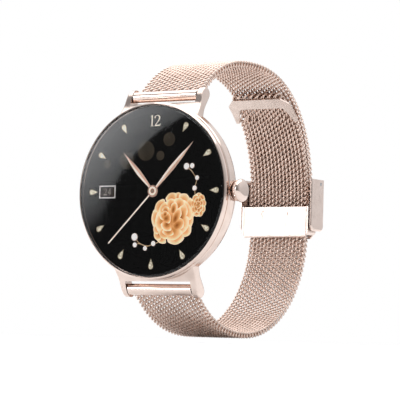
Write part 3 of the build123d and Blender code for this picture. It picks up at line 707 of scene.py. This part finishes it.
def softbox(name, place, aim, size, power):
    """A soft square light at a place in millimetres, turned to a point and unseen by the camera."""
    lamp = bpy.data.lights.new(name, "AREA")
    lamp.shape = "RECTANGLE"
    lamp.size = lamp.size_y = size * MM
    lamp.energy = power
    obj = bpy.data.objects.new(name, lamp)
    bpy.context.scene.collection.objects.link(obj)
    obj.location = Vector(place) * MM
    obj.rotation_mode = "QUATERNION"
    obj.rotation_quaternion = (Vector(aim) - Vector(place)).to_track_quat("-Z", "Y")
    obj.visible_camera = False


softbox("overhead", (0, 0, 900), (0, 0, 0), 1400, 9.0)
softbox("left_light", (-600, 60, 60), (0, 10, 0), 300, 0.8)

VIEW_YAW, VIEW_PITCH, VIEW_ROLL = (math.radians(a) for a in (33.12, -3.824, 1.585))
VIEW_DISTANCE = 474.4          # from the point that the camera looks at
VIEW_SHIFT = (11.34, -1.78)    # that point, right of and above the middle of the glass's edge
GLASS_EDGE_Y = -10.0

back = Vector((math.sin(VIEW_YAW) * math.cos(VIEW_PITCH),
               -math.cos(VIEW_YAW) * math.cos(VIEW_PITCH),
               math.sin(VIEW_PITCH)))
right = (-back).cross(Vector((0, 0, 1))).normalized()
up = right.cross(-back)
look_at = Vector((0, GLASS_EDGE_Y, 0)) + right * VIEW_SHIFT[0] + up * VIEW_SHIFT[1]
level = Matrix((right, up, back)).transposed()
camera = bpy.data.objects.new("camera", bpy.data.cameras.new("camera"))
bpy.context.scene.collection.objects.link(camera)
camera.matrix_world = Matrix.Translation((look_at + back * VIEW_DISTANCE) * MM) @ (
    level @ Matrix.Rotation(VIEW_ROLL, 3, "Z")).to_4x4()
camera.data.sensor_width = 36
camera.data.lens = 187.2
camera.data.clip_start, camera.data.clip_end = 0.01, 10
bpy.context.scene.camera = camera
bpy.context.scene.view_settings.view_transform = "Standard"

# the studio: pale walls, and a soft window before the dial with a round edge, high on its left
world = bpy.data.worlds.new("studio")
bpy.context.scene.world = world
world.use_nodes = True
sky = world.node_tree


def sky_node(kind, *inputs, operation=None):
    """A new node of the world; each input is a number or another node's output."""
    made = sky.nodes.new("ShaderNode" + kind)
    if operation:
        made.operation = operation
    for socket, value in zip(made.inputs, inputs):
        if isinstance(value, bpy.types.NodeSocket):
            sky.links.new(value, socket)
        else:
            socket.default_value = value
    return made.outputs


def sky_range(value, low, high, to_low, to_high):
    """A value carried from one range to another, and held at its ends."""
    return sky_node("MapRange", value, low, high, to_low, to_high)[0]


def sky_math(operation, *inputs):
    return sky_node("Math", *inputs, operation=operation)[0]


across, forward, upward = sky_node("SeparateXYZ", sky_node("TexCoord")[0])

# where light from each direction would come from on the dial: the window is drawn there, in millimetres
GLASS_FACE_Y = -10.35
WINDOW_MIDDLE, WINDOW_EDGE, WINDOW_FADE = (19.3, 0, -15.2), (33.3, 33.7), (150, 260)
WINDOW_SLOPE, WINDOW_RISE, WINDOW_GLOW = (-0.65, 0.76), (3, 18), 6.2
eye = camera.matrix_world.translation / MM
depth = eye.y - GLASS_FACE_Y
card_x = sky_math("MULTIPLY_ADD", sky_math("DIVIDE", across, forward), depth, eye.x)
card_z = sky_math("MULTIPLY_ADD", sky_math("DIVIDE", upward, forward), depth, eye.z)
slant = sky_math("MULTIPLY_ADD", card_z, WINDOW_SLOPE[1], sky_math("MULTIPLY", card_x, WINDOW_SLOPE[0]))
on_card = sky_node("CombineXYZ", card_x, 0.0, card_z)[0]
from_middle = sky_node("VectorMath", on_card, WINDOW_MIDDLE, operation="DISTANCE")[1]
window = sky_range(slant, *WINDOW_RISE, 0, WINDOW_GLOW)
for part in (sky_range(from_middle, *WINDOW_EDGE, 0, 1), sky_range(from_middle, *WINDOW_FADE, 1, 0),
             sky_range(forward, -0.1, -0.3, 0, 1)):
    window = sky_math("MULTIPLY", window, part)

# the walls are paler above the watch than below it, and behind it than before it
walls = sky_math("MULTIPLY", sky_range(upward, -0.1, 0.6, 0.6, 1.0),
                 sky_range(forward, -0.6, 0.3, 0.28, 1.0))
room = sky_node("Background", (0.97, 0.98, 1.0, 1), sky_math("ADD", walls, window))[0]
backdrop = sky_node("Background", (1, 1, 1, 1), 1.0)[0]
seen_directly = sky_node("LightPath")[0]
either = sky_node("MixShader", seen_directly, room, backdrop)[0]
sky.links.new(either, sky.nodes["World Output"].inputs["Surface"])
